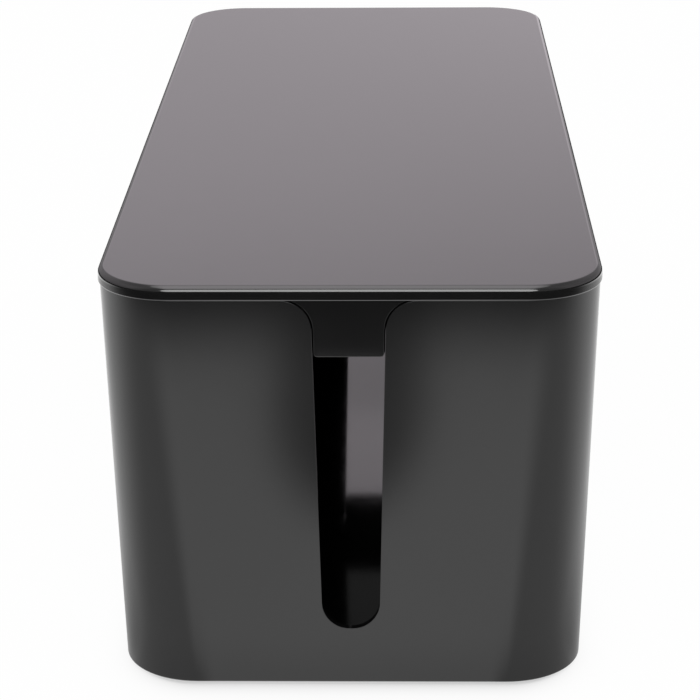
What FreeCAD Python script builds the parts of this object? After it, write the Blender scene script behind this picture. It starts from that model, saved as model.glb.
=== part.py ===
import FreeCAD, Part
import Sketcher
import os
from math import pi

# A free-standing box that hides a power strip and its cords. A tall tub stands on four rubber feet and has
# a cable slot in each end. A lid lies on it, with a tongue at each end that closes the mouth of the slot.
# Millimetres, +Z up, +Y along the box, origin on the ground under the middle of the box.

SIZES = [
    # The lid: plate, rim, locating lip and tongues
    ("lid_width", 157.0, "outside width of the lid, across the box"),
    ("lid_length", 407.0, "outside length of the lid"),
    ("lid_corner_radius", 24.0, "radius of the lid's corners, seen from above"),
    ("lid_overhang", 0.5, "how far the lid stands out past the tub all round"),
    ("plate_thickness", 2.8, "thickness of the lid's flat plate"),
    ("rim_height", 4.7, "height of the rim, from the tub's edge to the lid's top"),
    ("rim_top_rounding", 2.0, "rounding of the rim's top edge"),
    ("rim_lower_rounding", 0.5, "rounding of the rim's lower edge"),
    ("lip_depth", 3.0, "how far the locating lip reaches down inside the tub"),
    ("lip_thickness", 1.2, "thickness of the locating lip"),
    ("lip_clearance", 0.5, "gap between the lip and the tub's wall"),
    ("tongue_depth", 18.3, "how far a tongue reaches down into its slot"),
    ("tongue_gap", 0.25, "gap between a tongue and the slot's edge"),
    ("tongue_corner_radius", 1.0, "radius of a tongue's two lower corners"),
    ("tongue_edge_rounding", 0.3, "rounding of a tongue's outer edges"),
    ("lip_join_share", 0.5, "share of the lip's thickness that a tongue's back reaches into"),
    # The tub
    ("tub_height", 130.8, "height of the tub, underside to edge"),
    ("tub_taper", 3.4, "how far each wall leans in from the edge to the underside"),
    ("tub_corner_radius", 24.0, "radius of the tub's corners"),
    ("base_rounding", 0.8, "rounding of the tub's lower outer edge"),
    ("wall_thickness", 2.5, "thickness of the tub's walls"),
    ("floor_thickness", 3.0, "thickness of the tub's floor"),
    ("floor_rounding", 2.0, "inner rounding between floor and walls"),
    ("edge_rounding", 0.3, "rounding of the tub's upper edge and of the slots"),
    # The cable slots
    ("slot_flare_radius", 9.8, "radius of the flare at the slot's mouth"),
    ("slot_neck_width", 22.6, "width of the slot where the flare ends"),
    ("slot_base_width", 18.4, "width of the slot's round lower end"),
    ("slot_base_height", 19.4, "lowest point of the slot, above the underside"),
    # The feet
    ("foot_diameter", 14.0, "diameter of a rubber foot"),
    ("foot_thickness", 2.0, "thickness of a rubber foot"),
    ("foot_rounding", 0.5, "rounding of a foot's lower edge"),
    ("foot_recess_depth", 1.0, "depth of a foot's recess in the underside"),
    ("foot_recess_clearance", 0.2, "gap round a foot in its recess"),
    ("foot_inset", 24.0, "a foot's centre, in from the sides of the underside"),
    # Cuts
    ("cut_overrun", 5.0, "how far a cut runs past the solid it opens"),
]

# How closely an edge has to lie where it is looked for
NEAR = 1e-4

doc = FreeCAD.newDocument("cable_management_box")
sheet = doc.addObject("Spreadsheet::Sheet", "Sizes")
for row, (alias, value, meaning) in enumerate(SIZES, 1):
    sheet.set("A%d" % row, meaning)
    sheet.set("B%d" % row, str(value))
    sheet.setAlias("B%d" % row, alias)
doc.recompute()


def size(expression):
    """The number that an expression in the sheet's sizes comes to."""
    return float(sheet.evalExpression(expression))


# Places that more than one piece follows, as expressions in the sheet's sizes
TUB_LIFT = "(Sizes.foot_thickness - Sizes.foot_recess_depth)"
EDGE_INSET = "Sizes.lid_overhang"
WALL_INSET = "(Sizes.lid_overhang + Sizes.wall_thickness)"
LIP_INSET = "(Sizes.lid_overhang + Sizes.wall_thickness + Sizes.lip_clearance)"
LIP_CORNER_RADIUS = "Sizes.tub_corner_radius - Sizes.wall_thickness - Sizes.lip_clearance"
UNDERSIDE_INSET = "(Sizes.lid_overhang + Sizes.tub_taper + Sizes.foot_inset)"
FOOT_SPREAD_X = "(Sizes.lid_width - 2 * %s)" % UNDERSIDE_INSET
FOOT_SPREAD_Y = "(Sizes.lid_length - 2 * %s)" % UNDERSIDE_INSET
FLARE_SPREAD = "(Sizes.slot_neck_width + 2 * Sizes.slot_flare_radius)"
SLOT_END_HEIGHT = "(Sizes.slot_base_height + Sizes.slot_base_width / 2)"


def body_named(label):
    """An empty body whose label is the name of the piece."""
    body = doc.addObject("PartDesign::Body", label)
    body.Label = label
    return body


def sketch_on(body, name, role, offset=None):
    """An empty sketch on one of the body's own planes, moved along the plane's normal by an expression."""
    sketch = body.newObject("Sketcher::SketchObject", name)
    plane = origin_plane(body, role)
    sketch.AttachmentSupport = [(plane, "")]
    sketch.MapMode = "FlatFace"
    if offset:
        sketch.setExpression("AttachmentOffset.Base.z", offset)
    return sketch


def origin_plane(body, role):
    """The body's own plane with this role."""
    return next(feature for feature in body.Origin.OriginFeatures if feature.Role == role)


def drive(sketch, name, expression, *constraint):
    """Adds a dimension to a sketch and binds it to an expression in the sheet's sizes."""
    index = sketch.addConstraint(Sketcher.Constraint(*constraint, size(expression)))
    sketch.renameConstraint(index, name)
    sketch.setExpression("Constraints." + name, expression)


def point(across, up):
    return FreeCAD.Vector(across, up, 0)


UP = FreeCAD.Vector(0, 0, 1)


def arc(centre, radius, start, end):
    """An arc that runs anticlockwise round a centre, from one angle to another, in quarter turns."""
    circle = Part.Circle(centre, UP, radius)
    return Part.ArcOfCircle(circle, start * pi / 2, end * pi / 2)


def rectangle(sketch, width, length):
    """A rectangle centred on the sketch's origin."""
    x = size(width) / 2
    y = size(length) / 2
    corners = [point(-x, -y), point(x, -y), point(x, y), point(-x, y)]
    for start, end in zip(corners, corners[1:] + corners[:1]):
        sketch.addGeometry(Part.LineSegment(start, end))
    for side, direction in enumerate(["Horizontal", "Vertical"] * 2):
        sketch.addConstraint(Sketcher.Constraint("Coincident", side, 2, (side + 1) % 4, 1))
        sketch.addConstraint(Sketcher.Constraint(direction, side))
    sketch.addConstraint(Sketcher.Constraint("Symmetric", 0, 1, 2, 1, -1, 1))
    drive(sketch, "width", width, "DistanceX", 0, 1, 0, 2)
    drive(sketch, "length", length, "DistanceY", 1, 1, 1, 2)


def rounded_rectangle(sketch, width, length, radius):
    """A rectangle with four equal round corners, centred on the sketch's origin."""
    x = size(width) / 2
    y = size(length) / 2
    r = size(radius)
    corners = [(x - r, r - y, 3), (x - r, y - r, 0), (r - x, y - r, 1), (r - x, r - y, 2)]
    sides = [
        (point(r - x, -y), point(x - r, -y)),
        (point(x, r - y), point(x, y - r)),
        (point(x - r, y), point(r - x, y)),
        (point(-x, y - r), point(-x, r - y)),
    ]
    for (across, up, quarter), (start, end) in zip(corners, sides):
        sketch.addGeometry(Part.LineSegment(start, end))
        sketch.addGeometry(arc(point(across, up), r, quarter, quarter + 1))
    lines = [0, 2, 4, 6]
    arcs = [1, 3, 5, 7]
    for item in range(8):
        sketch.addConstraint(Sketcher.Constraint("Tangent", item, 2, (item + 1) % 8, 1))
    for line, direction in zip(lines, ["Horizontal", "Vertical"] * 2):
        sketch.addConstraint(Sketcher.Constraint(direction, line))
    for corner in arcs[1:]:
        sketch.addConstraint(Sketcher.Constraint("Equal", arcs[0], corner))
    sketch.addConstraint(Sketcher.Constraint("Symmetric", arcs[3], 3, arcs[1], 3, -1, 1))
    drive(sketch, "width", width, "DistanceX", lines[3], 1, lines[1], 1)
    drive(sketch, "length", length, "DistanceY", lines[0], 1, lines[2], 1)
    drive(sketch, "radius", radius, "Radius", arcs[0])


def inset_rectangle(sketch, inset, radius):
    """The lid's outline, drawn in by an inset all round, with corners of a radius."""
    rounded_rectangle(sketch, "Sizes.lid_width - 2 * " + inset, "Sizes.lid_length - 2 * " + inset, radius)


def segments(sketch, *points):
    """Straight lines from each point to the next."""
    for start, end in zip(points, points[1:]):
        sketch.addGeometry(Part.LineSegment(start, end))


def slot_profile(sketch):
    """The cable slot: a round lower end, two leaning sides, and a mouth that flares out to the edge.

    It is drawn with upright sides, and the constraints then lean them.
    """
    flare = size("Sizes.slot_flare_radius")
    neck = size("Sizes.slot_neck_width / 2")
    end_radius = size("Sizes.slot_base_width / 2")
    low = size(SLOT_END_HEIGHT)
    middle = size("Sizes.tub_height - Sizes.slot_flare_radius")
    top = middle + flare
    high = top + size("Sizes.cut_overrun")
    spread = neck + flare
    sketch.addGeometry(arc(point(0, low), end_radius, 2, 4))
    segments(sketch, point(end_radius, low), point(neck, middle))
    sketch.addGeometry(arc(point(spread, middle), flare, 1, 2))
    segments(sketch, point(spread, top), point(spread, high), point(-spread, high), point(-spread, top))
    sketch.addGeometry(arc(point(-spread, middle), flare, 0, 1))
    segments(sketch, point(-neck, middle), point(-end_radius, low))
    for constraint in [
        ("Tangent", 0, 2, 1, 1),
        ("Tangent", 1, 2, 2, 2),
        ("Coincident", 2, 1, 3, 1),
        ("Coincident", 3, 2, 4, 1),
        ("Coincident", 4, 2, 5, 1),
        ("Coincident", 5, 2, 6, 2),
        ("Tangent", 6, 1, 7, 1),
        ("Tangent", 7, 2, 0, 1),
        ("Vertical", 3),
        ("Vertical", 5),
        ("Horizontal", 4),
        ("Vertical", 2, 3, 2, 1),
        ("Vertical", 6, 3, 6, 2),
        ("Equal", 2, 6),
        ("PointOnObject", 0, 3, -2),
        ("Symmetric", 6, 3, 2, 3, -2),
    ]:
        sketch.addConstraint(Sketcher.Constraint(*constraint))
    drive(sketch, "flare_radius", "Sizes.slot_flare_radius", "Radius", 2)
    drive(sketch, "flare_spread", FLARE_SPREAD, "DistanceX", 6, 3, 2, 3)
    drive(sketch, "flare_height", "Sizes.tub_height - Sizes.slot_flare_radius", "DistanceY", -1, 1, 2, 3)
    drive(sketch, "end_radius", "Sizes.slot_base_width / 2", "Radius", 0)
    drive(sketch, "end_height", SLOT_END_HEIGHT, "DistanceY", -1, 1, 0, 3)
    drive(sketch, "open_top", "Sizes.cut_overrun", "DistanceY", 3, 1, 3, 2)


def tongue_profile(sketch):
    """The tongue: the slot's outline drawn in by the tongue's gap and cut off square at its depth.

    Its origin is at the height of the tub's edge, where the lid rests. A construction circle at the slot's
    round lower end gives the sides their lean.
    """
    flare = size("Sizes.slot_flare_radius + Sizes.tongue_gap")
    neck = size("Sizes.slot_neck_width / 2 - Sizes.tongue_gap")
    end_radius = size("Sizes.slot_base_width / 2 - Sizes.tongue_gap")
    corner = size("Sizes.tongue_corner_radius")
    low = size(SLOT_END_HEIGHT + " - Sizes.tub_height")
    middle = size("-Sizes.slot_flare_radius")
    foot = size("-Sizes.tongue_depth")
    top = middle + flare
    spread = neck + flare
    reach = neck - corner
    segments(sketch, point(-reach, foot), point(reach, foot))
    sketch.addGeometry(arc(point(reach, foot + corner), corner, 3, 4))
    segments(sketch, point(neck, foot + corner), point(neck, middle))
    sketch.addGeometry(arc(point(spread, middle), flare, 1, 2))
    segments(sketch, point(spread, top), point(-spread, top))
    sketch.addGeometry(arc(point(-spread, middle), flare, 0, 1))
    segments(sketch, point(-neck, middle), point(-neck, foot + corner))
    sketch.addGeometry(arc(point(-reach, foot + corner), corner, 2, 3))
    sketch.addGeometry(Part.Circle(point(0, low), UP, end_radius), True)
    for constraint in [
        ("Tangent", 0, 2, 1, 1),
        ("Tangent", 1, 2, 2, 1),
        ("Tangent", 2, 2, 3, 2),
        ("Coincident", 3, 1, 4, 1),
        ("Coincident", 4, 2, 5, 2),
        ("Tangent", 5, 1, 6, 1),
        ("Tangent", 6, 2, 7, 1),
        ("Tangent", 7, 2, 0, 1),
        ("Horizontal", 0),
        ("Vertical", 3, 3, 3, 1),
        ("Vertical", 5, 3, 5, 2),
        ("Equal", 1, 7),
        ("Equal", 3, 5),
        ("Symmetric", 5, 3, 3, 3, -2),
        ("PointOnObject", 8, 3, -2),
        ("Tangent", 2, 8),
        ("Tangent", 6, 8),
    ]:
        sketch.addConstraint(Sketcher.Constraint(*constraint))
    drive(sketch, "corner_radius", "Sizes.tongue_corner_radius", "Radius", 1)
    drive(sketch, "flare_radius", "Sizes.slot_flare_radius + Sizes.tongue_gap", "Radius", 3)
    drive(sketch, "flare_spread", FLARE_SPREAD, "DistanceX", 5, 3, 3, 3)
    drive(sketch, "flare_depth", "Sizes.slot_flare_radius", "DistanceY", 3, 3, -1, 1)
    drive(sketch, "end_radius", "Sizes.slot_base_width / 2 - Sizes.tongue_gap", "Radius", 8)
    drive(sketch, "end_depth", "Sizes.tub_height - " + SLOT_END_HEIGHT, "DistanceY", 8, 3, -1, 1)
    drive(sketch, "depth", "Sizes.tongue_depth", "DistanceY", 0, 1, -1, 1)


def pad(body, name, sketch, length, downwards=False):
    """Raises a solid from a sketch."""
    feature = body.newObject("PartDesign::Pad", name)
    feature.Profile = sketch
    feature.Reversed = downwards
    feature.setExpression("Length", length)
    doc.recompute()
    return feature


def lean_in(body, name, block, height, angle):
    """Leans a block's upright faces inwards, going down from its level top at a height."""
    faces = {"Face%d" % number: face for number, face in enumerate(block.Shape.Faces, 1)}
    upright = [key for key, face in faces.items() if face.BoundBox.ZLength > NEAR]
    top = [key for key, face in faces.items() if abs(face.BoundBox.ZMin - height) < NEAR]
    feature = body.newObject("PartDesign::Draft", name)
    feature.Base = (block, upright)
    feature.NeutralPlane = (block, top)
    feature.Reversed = True
    feature.setExpression("Angle", angle)
    doc.recompute()
    return feature


def pocket(body, name, sketch, length, upwards=False, both_ways=False):
    """Cuts a sketch out of the body to a depth and checks that something was cut."""
    before = body.Shape.Volume
    feature = body.newObject("PartDesign::Pocket", name)
    feature.Profile = sketch
    feature.Reversed = upwards
    if both_ways:
        feature.SideType = "Symmetric"
    feature.setExpression("Length", length)
    doc.recompute()
    if not body.Shape.Volume < before:
        raise RuntimeError(name + " cuts nothing")
    return feature


def fillet(body, name, base, radius, wanted):
    """Rounds those edges of a feature for which wanted(edge) holds."""
    names = ["Edge%d" % number for number, edge in enumerate(base.Shape.Edges, 1) if wanted(edge)]
    if not names:
        raise RuntimeError(name + " finds no edge")
    feature = body.newObject("PartDesign::Fillet", name)
    feature.Base = (base, names)
    feature.setExpression("Radius", radius)
    doc.recompute()
    return feature


def level_at(height):
    """A test for edges that lie level at one height of the body."""
    def wanted(edge):
        box = edge.BoundBox
        return abs(box.ZMin - height) < NEAR and abs(box.ZMax - height) < NEAR
    return wanted


def leaning(edge):
    """True for the four edges where two leaning walls meet."""
    box = edge.BoundBox
    return box.ZLength > NEAR and box.XLength > NEAR and box.YLength > NEAR


def tapered_block(body, inset, depth, corner_radius, lower_rounding):
    """A block that hangs from the height of the tub's edge and draws in downwards as the tub does."""
    name = body.Label
    edge = sketch_on(body, name + "_edge", "XY_Plane", "Sizes.tub_height")
    rectangle(edge, "Sizes.lid_width - 2 * " + inset, "Sizes.lid_length - 2 * " + inset)
    block = pad(body, name + "_block", edge, depth, downwards=True)
    lean = "atan(Sizes.tub_taper / Sizes.tub_height)"
    block = lean_in(body, name + "_walls", block, size("Sizes.tub_height"), lean)
    block = fillet(body, name + "_corners", block, corner_radius, leaning)
    foot = level_at(size("Sizes.tub_height - (%s)" % depth))
    return fillet(body, name + "_lower_rounding", block, lower_rounding, foot)


def make_tub():
    """The tub: a tapered block, hollowed by a core, with a slot in each end and four recesses for feet."""
    core = body_named("tub_core")
    tapered_block(
        core,
        WALL_INSET,
        "Sizes.tub_height - Sizes.floor_thickness",
        "Sizes.tub_corner_radius - Sizes.wall_thickness",
        "Sizes.floor_rounding",
    )
    body = body_named("tub")
    tapered_block(body, EDGE_INSET, "Sizes.tub_height", "Sizes.tub_corner_radius", "Sizes.base_rounding")
    hollow = body.newObject("PartDesign::Boolean", "tub_hollow")
    hollow.setObjects([core])
    hollow.Type = "Cut"
    doc.recompute()

    outline = sketch_on(body, "slot_outline", "XZ_Plane")
    slot_profile(outline)
    slots = pocket(body, "cable_slots", outline, "Sizes.lid_length", both_ways=True)
    fillet(body, "tub_edge_rounding", slots, "Sizes.edge_rounding", rim_or_slot_edge)

    recesses = sketch_on(body, "foot_places", "XY_Plane")
    foot_circles(recesses)
    pocket(body, "foot_recesses", recesses, "Sizes.foot_recess_depth", upwards=True)
    body.setExpression("Placement.Base.z", TUB_LIFT)
    return body


def rim_or_slot_edge(edge):
    """True for the tub's upper edges and the slots' outlines, but not for the seams across the wall."""
    box = edge.BoundBox
    above = box.ZMin > size("Sizes.slot_base_height") - NEAR
    across_wall = max(box.XLength, box.ZLength) < NEAR and box.YLength < 2 * size("Sizes.wall_thickness")
    return above and not across_wall


def foot_circles(sketch):
    """Four equal circles, one near each corner of the underside."""
    across = size(FOOT_SPREAD_X) / 2
    along = size(FOOT_SPREAD_Y) / 2
    radius = size("Sizes.foot_diameter / 2 + Sizes.foot_recess_clearance")
    for x, y in [(-across, -along), (across, -along), (across, along), (-across, along)]:
        sketch.addGeometry(Part.Circle(point(x, y), UP, radius))
    for constraint in [
        ("Equal", 0, 1),
        ("Equal", 0, 2),
        ("Equal", 0, 3),
        ("Symmetric", 0, 3, 2, 3, -1, 1),
        ("Symmetric", 1, 3, 3, 3, -1, 1),
        ("Horizontal", 0, 3, 1, 3),
        ("Vertical", 1, 3, 2, 3),
    ]:
        sketch.addConstraint(Sketcher.Constraint(*constraint))
    drive(sketch, "radius", "Sizes.foot_diameter / 2 + Sizes.foot_recess_clearance", "Radius", 0)
    drive(sketch, "spread_across", FOOT_SPREAD_X, "DistanceX", 0, 3, 1, 3)
    drive(sketch, "spread_along", FOOT_SPREAD_Y, "DistanceY", 1, 3, 2, 3)


def make_lid():
    """The lid: a plate with a rim, a locating lip below it and a tongue at each end.

    It is drawn with its origin at the height of the tub's edge, where the rim rests.
    """
    body = body_named("lid")
    outline = sketch_on(body, "lid_outline", "XY_Plane")
    inset_rectangle(outline, "0", "Sizes.lid_corner_radius")
    plate = pad(body, "lid_plate", outline, "Sizes.rim_height")
    top = level_at(size("Sizes.rim_height"))
    plate = fillet(body, "lid_top_rounding", plate, "Sizes.rim_top_rounding", top)
    fillet(body, "lid_lower_rounding", plate, "Sizes.rim_lower_rounding", level_at(0))

    lip = sketch_on(body, "lip_outline", "XY_Plane")
    inset_rectangle(lip, LIP_INSET, LIP_CORNER_RADIUS)
    pad(body, "lid_lip", lip, "Sizes.lip_depth", downwards=True)
    inside = sketch_on(body, "lip_inside", "XY_Plane", "-Sizes.lip_depth")
    inset_rectangle(
        inside,
        "(%s + Sizes.lip_thickness)" % LIP_INSET,
        LIP_CORNER_RADIUS + " - Sizes.lip_thickness",
    )
    hollow_depth = "Sizes.lip_depth + Sizes.rim_height - Sizes.plate_thickness"
    pocket(body, "lid_hollow", inside, hollow_depth, upwards=True)

    # The tongue's face stands upright and its foot is flush with the leaning end wall
    setback = "Sizes.lid_overhang + Sizes.tub_taper * Sizes.tongue_depth / Sizes.tub_height"
    face = sketch_on(body, "tongue_outline", "XZ_Plane", "Sizes.lid_length / 2 - (%s)" % setback)
    tongue_profile(face)
    thickness = "%s + Sizes.lip_thickness * Sizes.lip_join_share - (%s)" % (LIP_INSET, setback)
    tongue = pad(body, "near_tongue", face, thickness, downwards=True)
    tongues = body.newObject("PartDesign::Mirrored", "far_tongue")
    tongues.Originals = [tongue]
    tongues.MirrorPlane = (origin_plane(body, "XZ_Plane"), [""])
    body.Tip = tongues
    doc.recompute()
    fillet(body, "tongue_edge_rounding", tongues, "Sizes.tongue_edge_rounding",
           tongue_face_edge(size("Sizes.lid_length / 2 - (%s)" % setback)))
    body.setExpression("Placement.Base.z", "%s + Sizes.tub_height" % TUB_LIFT)
    return body


def tongue_face_edge(reach):
    """A test for the edges round the outer face of each tongue, at this distance from the middle."""
    def wanted(edge):
        box = edge.BoundBox
        on_face = box.YLength < NEAR and abs(abs(box.YMin) - reach) < NEAR
        return on_face and box.ZMin < -NEAR
    return wanted


def make_foot(label, side, end):
    """A round rubber foot, in its recess near one corner. Side and end are -1 or 1."""
    body = body_named(label)
    disc = sketch_on(body, label + "_disc", "XY_Plane")
    disc.addGeometry(Part.Circle(point(0, 0), UP, size("Sizes.foot_diameter / 2")))
    disc.addConstraint(Sketcher.Constraint("Coincident", 0, 3, -1, 1))
    drive(disc, "radius", "Sizes.foot_diameter / 2", "Radius", 0)
    block = pad(body, label + "_block", disc, "Sizes.foot_thickness")
    fillet(body, label + "_rounding", block, "Sizes.foot_rounding", level_at(0))
    body.setExpression("Placement.Base.x", "%d * %s / 2" % (side, FOOT_SPREAD_X))
    body.setExpression("Placement.Base.y", "%d * %s / 2" % (end, FOOT_SPREAD_Y))
    return body


pieces = [make_tub(), make_lid()]
for end_name, end in [("front", -1), ("rear", 1)]:
    for side_name, side in [("left", -1), ("right", 1)]:
        pieces.append(make_foot("rubber_foot_%s_%s" % (end_name, side_name), side, end))
doc.recompute()

for item in doc.Objects:
    if "Invalid" in item.State or "Error" in item.State:
        raise RuntimeError(item.Name + " failed: " + ", ".join(item.State))
    if item.TypeId == "Sketcher::SketchObject" and not item.FullyConstrained:
        raise RuntimeError(item.Name + " is not fully constrained")

os.makedirs("parts", exist_ok=True)
for piece in pieces:
    if piece.Shape.isNull() or not piece.Shape.isValid() or len(piece.Shape.Solids) != 1:
        raise RuntimeError(piece.Label + " is not one valid solid")
    piece.Shape.exportStep("parts/%s.step" % piece.Label)
    print("%s: %.0f cubic mm" % (piece.Label, piece.Shape.Volume))
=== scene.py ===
"""The looks of a cable management box: a tub, a lift-off lid and four rubber feet.

It is laid out as an add-on. Sizes and finishes are properties of the scene, each piece has its
operator, and a panel in the 3D view's sidebar lists them. Run as a script, it builds the scene.
Metres, +Z up, +Y along the box, origin on the ground under the middle of the box.
"""

from math import asin, atan2, cos, hypot, pi, radians, sin

import bpy
import numpy as np
from bpy.props import FloatProperty, FloatVectorProperty, IntProperty, PointerProperty
from bpy.types import Operator, Panel, PropertyGroup
from mathutils import Matrix, Vector


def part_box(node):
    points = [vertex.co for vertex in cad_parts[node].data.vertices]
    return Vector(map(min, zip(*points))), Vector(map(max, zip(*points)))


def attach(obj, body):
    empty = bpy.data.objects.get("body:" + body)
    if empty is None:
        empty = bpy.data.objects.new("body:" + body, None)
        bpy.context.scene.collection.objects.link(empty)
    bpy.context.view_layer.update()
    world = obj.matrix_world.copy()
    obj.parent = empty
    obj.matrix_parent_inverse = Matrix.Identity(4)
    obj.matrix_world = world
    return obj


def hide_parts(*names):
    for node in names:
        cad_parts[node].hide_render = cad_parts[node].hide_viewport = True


bl_info = {
    "name": "Cable management box",
    "version": (1, 0, 0),
    "blender": (4, 5, 0),
    "location": "View3D > Sidebar > Cable box",
    "description": "Builds a lidded box that hides a power strip and its cords",
    "category": "Object",
}

MM = 0.001

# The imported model, and the places that the pieces take from it
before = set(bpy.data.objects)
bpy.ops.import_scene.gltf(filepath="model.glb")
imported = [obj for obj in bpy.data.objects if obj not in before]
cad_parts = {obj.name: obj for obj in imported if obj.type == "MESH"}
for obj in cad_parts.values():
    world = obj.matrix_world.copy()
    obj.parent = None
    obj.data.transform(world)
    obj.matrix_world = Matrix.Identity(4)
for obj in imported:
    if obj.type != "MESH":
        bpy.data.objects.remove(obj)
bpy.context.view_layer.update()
TUB_LOW, TUB_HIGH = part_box("tub")
LID_LOW, LID_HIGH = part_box("lid")
FEET = ("rubber_foot_front_left", "rubber_foot_front_right",
        "rubber_foot_rear_left", "rubber_foot_rear_right")
FOOT_LOW, FOOT_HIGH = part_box("rubber_foot_rear_right")

# Which finish a face has: the first or the second material of its piece
OUTSIDE, INSIDE = 0, 1

# Points nearer than JOIN are one point, and parts of a direction below TINY are 0
JOIN = 0.0005 * MM
TINY = 1e-12

# The part of the way round an edge over which its share of rounded edge grows to full
EDGE_START = 0.25


def length(name, default, description):
    """A length that a user may change, in metres."""
    return FloatProperty(name=name, description=description, default=default, min=0,
                         unit="LENGTH", precision=5)


def share(name, default, description):
    """A number from 0 to 1."""
    return FloatProperty(name=name, description=description, default=default, min=0, max=1,
                         subtype="FACTOR")


def number(name, default, description):
    """A number without limits."""
    return FloatProperty(name=name, description=description, default=default)


def colour(name, default, description):
    """Red, green and blue, each from 0 to 1."""
    return FloatVectorProperty(name=name, description=description, default=default, min=0, max=1,
                               size=3, subtype="COLOR")


def angle(name, degrees, description):
    """An angle given in degrees and kept in radians."""
    return FloatProperty(name=name, description=description, default=radians(degrees), subtype="ANGLE")


def steps(name, default, description):
    """A whole number, 1 or more."""
    return IntProperty(name=name, description=description, default=default, min=1)


class TubSizes(PropertyGroup):
    """Sizes of the tub and of the cable slot in each end."""

    width: length("Width", TUB_HIGH.x - TUB_LOW.x, "Outside width at the upper edge")
    length: length("Length", TUB_HIGH.y - TUB_LOW.y, "Outside length at the upper edge")
    underside: length("Underside", TUB_LOW.z, "Height of the underside above the ground")
    edge: length("Edge", TUB_HIGH.z, "Height of the upper edge above the ground")
    taper: length("Taper", 3.4 * MM, "How far each wall leans in, from the edge to the underside")
    corner: length("Corner radius", 24 * MM, "Radius of the corners, seen from above")
    corner_growth: length("Corner growth", 1 * MM, "How much larger the corner radius is at the underside")
    wall: length("Wall", 2.5 * MM, "Thickness of the walls")
    floor: length("Floor", 3 * MM, "Thickness of the floor")
    base_rounding: length("Base rounding", 0.8 * MM, "Rounding of the lower outer edge")
    floor_rounding: length("Floor rounding", 2 * MM, "Inner rounding between floor and walls")
    edge_rounding: length("Edge rounding", 0.15 * MM, "Rounding of the upper edge and of the slots")
    slot_flare: length("Slot flare", 9.8 * MM, "Radius of the flare at the slot's mouth")
    slot_neck: length("Slot neck", 22.6 * MM, "Width of the slot where the flare ends")
    slot_base: length("Slot base", 18.4 * MM, "Width of the slot's round lower end")
    slot_low: length("Slot low point", 20.4 * MM, "Lowest point of the slot above the ground")


class LidSizes(PropertyGroup):
    """Sizes of the lid, its locating lip and its tongues."""

    width: length("Width", LID_HIGH.x - LID_LOW.x, "Outside width")
    length: length("Length", LID_HIGH.y - LID_LOW.y, "Outside length")
    top: length("Top", LID_HIGH.z, "Height of the top above the ground")
    foot: length("Tongue foot", LID_LOW.z, "Height of a tongue's lower edge above the ground")
    corner: length("Corner radius", 24 * MM, "Radius of the corners, seen from above")
    plate: length("Plate", 2.8 * MM, "Thickness of the flat plate")
    top_rounding: length("Top rounding", 2 * MM, "Rounding of the rim's top edge")
    lower_rounding: length("Lower rounding", 0.5 * MM, "Rounding of the rim's lower edge")
    lip_depth: length("Lip depth", 3 * MM, "How far the locating lip reaches down inside the tub")
    lip: length("Lip", 1.2 * MM, "Thickness of the locating lip")
    lip_gap: length("Lip gap", 0.5 * MM, "Gap between the lip and the tub's wall")
    tongue_gap: length("Tongue gap", 0.4 * MM, "Gap between a tongue and the slot's edge")
    tongue_corner: length("Tongue corner", 1 * MM, "Radius of a tongue's two lower corners")
    tongue_rounding: length("Tongue rounding", 0.2 * MM, "Rounding round a tongue's outer face")
    tongue_spread: length("Tongue spread", 0.35 * MM, "How far a tongue widens each way at its back")


class FootSizes(PropertyGroup):
    """Sizes of the rubber feet and of the recesses that hold them."""

    diameter: length("Diameter", FOOT_HIGH.x - FOOT_LOW.x, "Diameter of a foot")
    top: length("Top", FOOT_HIGH.z, "Height of a foot's top, seated in its recess")
    spread_x: length("Spread across", (FOOT_HIGH.x + FOOT_LOW.x) / 2, "From the middle to a foot's centre")
    spread_y: length("Spread along", (FOOT_HIGH.y + FOOT_LOW.y) / 2, "From the middle to a foot's centre")
    rounding: length("Rounding", 0.5 * MM, "Rounding of a foot's lower edge")
    gap: length("Gap", 0.2 * MM, "Gap round a foot in its recess")


class Fineness(PropertyGroup):
    """How many steps the surfaces are worked out in."""

    side: steps("Side", 12, "Steps along half of a long side")
    corner: steps("Corner", 18, "Steps round a corner, an even number")
    end: steps("End", 6, "Steps along the plain part of half an end")
    arc: steps("Arc", 10, "Steps round an arc of the slot")
    line: steps("Line", 8, "Steps down a straight side of the slot")
    rounding: steps("Rounding", 5, "Steps across a rounded edge")
    wall: steps("Wall", 10, "Steps up a wall")
    foot: steps("Foot", 64, "Steps round a foot")


class Finishes(PropertyGroup):
    """Colours and gloss of the plastic and the rubber."""

    plastic: colour("Plastic", (0.0042, 0.0042, 0.0043), "Black of the moulded plastic")
    plastic_pale: colour("Pale plastic", (0.0058, 0.0057, 0.0058), "Black where the flow is a little paler")
    outside_roughness: share("Outside roughness", 0.14, "Roughness of the satin outside")
    outside_ior: number("Outside IOR", 1.66, "Index of refraction of the outside")
    polish: share("Polish", 1.0, "How far the lid's rounded edges are polished")
    polish_ior: number("Polish IOR", 1.8, "Index of refraction of a polished edge")
    polish_roughness: share("Polish roughness", 0.1, "Roughness of a polished edge")
    inside_roughness: share("Inside roughness", 0.06, "Roughness of the smooth inside")
    inside_ior: number("Inside IOR", 1.45, "Index of refraction of the inside")
    rubber: colour("Rubber", (0.018, 0.018, 0.018), "Dark grey of the rubber")
    rubber_worn: colour("Worn rubber", (0.035, 0.034, 0.033), "Grey of the rubber where it is scuffed")


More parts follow.
